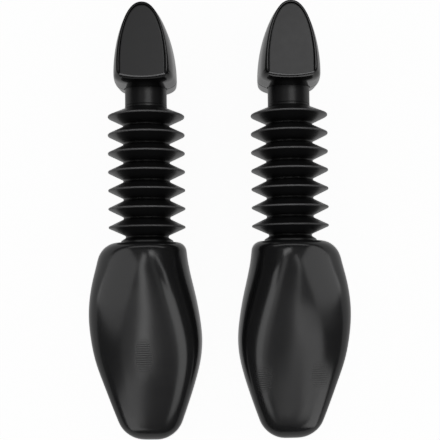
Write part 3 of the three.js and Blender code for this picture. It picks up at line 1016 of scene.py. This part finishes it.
blendRuns = {
    "toe": (bellowsForm["lipReach"], bendEnd[1]),
    "bellows_toe_end": (bendEnd[1], swingStart[1]),
    "bellows_heel_end": (swingStart[1], bellowsEnd),
}


def mirrored(piece):  # the left tree's copy, across the middle of the pair
    only(piece)
    bpy.ops.object.duplicate()
    twin = takeNew(piece.name.replace("right_", "left_"))
    twin.scale.x = -1
    bpy.ops.object.transform_apply(location=False, rotation=False, scale=True)
    editAll(twin)
    bpy.ops.mesh.flip_normals()
    bpy.ops.object.mode_set(mode="OBJECT")
    return twin


treePieces = {"right": [], "left": []}
for piece, finish, carrier, stoodFor in pieceTable:
    dress(piece, finish)
    for foot, part in (("right", piece), ("left", mirrored(piece))):
        treePieces[foot].append(part)
        if isinstance(carrier, str):
            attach(part, f"{foot}_{carrier}")
        else:
            start, end = blendRuns[carrier[0]]
            side = axisX if foot == "right" else -axisX
            bodies = [f"{foot}_{body}" for body in carrier]
            mouthY + start
            mouthY + end
            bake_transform(part)
        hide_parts(*[f"{foot}_{node}" for node in stoodFor])

for name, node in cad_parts.items():
    if "support_ring" in name:
        dress(node, "innerPlastic")
print("pieces riding:", sum(len(parts) for parts in treePieces.values()))

# Studio
studio = {
    "floorReach": 30.0,
    "floorDrop": 0.3 * mm,
    "floorColour": (0.8, 0.8, 0.8, 1),
    "floorGlow": 0.95,
    # in gloss the floor glows dimmer towards the toes, a painted falloff of the light
    "mirroredAtToes": 0.42,
    "mirroredAtHeels": 0.5,
    "mirrorFade": (-0.03, 0.05),
    "surround": 0.05,
    "skyMirrored": 0.02,
    "cameraPlace": (0.00035, -0.03595, 0.644),
    "cameraTilt": 1.5,
    "cameraRoll": -0.7,
    "cameraRaise": 0.085,
    "lens": 76.1,
    # name: pieces lit, centre, turns about X, Y and its own face, width, length, brightness
    "lamps": {
        "heelSoftbox": (["heel", "neck", "cuff"], (0.46, 0.45, 1.60), (0, 0, 0), 0.85, 0.60, 1.9),
        "toeCeiling": (["toe"], (0, -0.10, 0.90), (0, 0, 0), 1.30, 1.30, 0.12),
        "heelCeiling": (["heel", "neck", "cuff"], (0, -0.10, 0.90), (0, 0, 0), 1.30, 1.30, 0.25),
        "heelFront": (["heel_panel"], (0, -0.50, 0.35), (90, 0, 0), 1.40, 0.40, 2.0),
        "panelTop": (["left_heel_panel"], (0.20, 0.14, 0.90), (0, 0, 0), 0.36, 0.24, 1.6),
        "mouthRim": (["toe"], (0, 0.50, 0.35), (-90, 0, 0), 1.00, 0.15, 1.4),
        "foldTop": (["bellows"], (0, 0.03, 0.80), (0, 0, 0), 0.30, 0.60, 0.35),
        "foldFront": (["bellows"], (0, -0.45, 0.55), (45, 0, 0), 1.40, 0.30, 1.3),
        "foldRear": (["bellows"], (0, 0.51, 0.55), (-45, 0, 0), 1.40, 0.30, 1.3),
    },
    # each toe has these to itself, places of the left tree mirrored
    "toeLamps": {
        "right": {
            "nearStrip": ((-0.1185, -0.1965, 0.30), (0, 0, 8), 0.043, 0.296, 2.4),
            "nearEnd": ((-0.1145, 0.005, 0.30), (0, 0, -24), 0.04, 0.12, 2.4),
            "farStrip": ((0.115, -0.30, 0.30), (0, 0, -8), 0.20, 0.40, 1.6),
            "farEnd": ((0.165, -0.055, 0.30), (0, 0, -12), 0.07, 0.13, 1.7),
            "farTip": ((0.11, 0.035, 0.30), (0, 0, 56), 0.035, 0.15, 2.0),
            "mouthBar": ((0.0, 0.08, 0.30), (0, 0, 85), 0.05, 0.07, 3.0),
            "sidePanel": ((-0.25, -0.034, 0.237), (0, -90, 57), 0.27, 0.36, 1.0),
            "frontBar": ((-0.257, -0.50, 0.231), (90, 0, 47), 0.21, 0.28, 1.4),
            "outerStrip": ((-0.17, -0.315, 0.30), (0, 0, 5), 0.104, 0.34, 0.33),
            "frontPanel": ((-0.19, -0.50, 0.37), (90, 0, 3), 0.16, 0.18, 1.0),
            "topStrip": ((-0.01, -0.16, 0.30), (0, 0, 0), 0.057, 0.41, 0.26),
        },
        "left": {
            "nearStrip": ((-0.115, -0.248, 0.30), (0, 0, 15), 0.014, 0.39, 2.2),
            "nearEnd": ((-0.141, -0.015, 0.30), (0, 0, -28), 0.02, 0.103, 2.2),
            "farStrip": ((0.068, -0.30, 0.30), (0, 0, -5), 0.12, 0.36, 1.6),
            "farEnd": ((0.105, -0.07, 0.30), (0, 0, -22), 0.08, 0.14, 1.7),
            "mouthBar": ((-0.01, 0.085, 0.30), (0, 0, 75), 0.05, 0.11, 3.0),
            "sidePanel": ((-0.25, -0.015, 0.217), (0, -90, 58), 0.25, 0.33, 1.15),
            "frontBar": ((-0.368, -0.50, 0.218), (90, 0, 52), 0.30, 0.36, 1.65),
            "outerStrip": ((-0.19, -0.343, 0.30), (0, 0, 5), 0.15, 0.27, 1.3),
            "frontPanel": ((-0.10, -0.50, 0.35), (90, 0, 3), 0.25, 0.135, 0.2),
            "topStrip": ((-0.003, -0.17, 0.30), (0, 0, -2), 0.062, 0.41, 0.7),
        },
    },
}


def paleToEye(paint, toCamera, inGloss):  # how pale it is to the camera, and as gloss and glass show it
    seen = paint.node("ShaderNodeLightPath")
    glossy = seen.beside("Is Glossy Ray") + seen.beside("Is Transmission Ray")
    return seen * toCamera + glossy * inGloss


def makeFloor():
    clearPick()
    bpy.ops.mesh.primitive_plane_add(size=studio["floorReach"], location=(0, 0, -studio["floorDrop"]))
    floor = takeNew("studioFloor")
    material, shader, paint = newMaterial("palePaper")
    shader.inputs["Base Color"].default_value = studio["floorColour"]
    shader.inputs["Roughness"].default_value = 1.0
    shader.inputs["Specular IOR Level"].default_value = 0.0
    shader.inputs["Emission Strength"].default_value = 1.0
    # painted falloff: the floor's glow in gloss rises from the toes to the heels
    along = paint.node("ShaderNodeSeparateXYZ", None, {0: ownPlace(paint)}, output=1)
    fadeStart, fadeEnd = studio["mirrorFade"]
    levels = {0: along, 1: fadeStart, 2: fadeEnd, 3: studio["mirroredAtToes"], 4: studio["mirroredAtHeels"]}
    mirror = paint.node("ShaderNodeMapRange", {"interpolation_type": "SMOOTHSTEP"}, levels)
    link(paint, paleToEye(paint, studio["floorGlow"], mirror), shader, "Emission Color")
    floor.data.materials.append(material)


def makeLamp(name, place, turns, width, length, brightness):
    clearPick()
    bpy.ops.object.light_add(type="AREA", location=place)
    lamp = bpy.context.object
    lamp.name = name
    lamp.rotation_mode = "ZYX"
    lamp.rotation_euler = [math.radians(turn) for turn in turns]
    lamp.data.shape = "RECTANGLE"
    lamp.data.size = width
    lamp.data.size_y = length
    lamp.data.energy = brightness * math.pi * width * length
    return lamp


def lightOnly(lamp, words):  # the pieces with one of these words in their names
    group = bpy.data.collections.new(lamp.name)
    for part in treePieces["right"] + treePieces["left"]:
        if any(word in part.name for word in words):
            group.objects.link(part)
    lamp.light_linking.receiver_collection = group


makeFloor()
for name, (lit, *settings) in studio["lamps"].items():
    lightOnly(makeLamp(name, *settings), lit)
for foot, lamps in studio["toeLamps"].items():
    side = 1 if foot == "right" else -1
    for name, (place, turns, *rest) in lamps.items():
        place = (side * place[0], place[1], place[2])
        turns = (turns[0], side * turns[1], side * turns[2])
        lightOnly(makeLamp(f"{foot}_{name}", place, turns, *rest), [f"{foot}_toe"])

world = bpy.data.worlds.new("darkStudio")
world.use_nodes = True
paint = Paint(world.node_tree)
sky = paleToEye(paint, studio["floorGlow"] - studio["surround"], studio["skyMirrored"]) + studio["surround"]
link(paint, sky, world.node_tree.nodes["Background"], "Color")
bpy.context.scene.world = world

clearPick()
bpy.ops.object.camera_add(location=studio["cameraPlace"])
camera = bpy.context.object
camera.data.lens = studio["lens"]
camera.data.shift_y = studio["cameraRaise"]
camera.rotation_euler = (math.radians(studio["cameraTilt"]), 0, math.radians(studio["cameraRoll"]))
bpy.context.scene.camera = camera
bpy.context.scene.view_settings.view_transform = "Standard"
print("studio set")
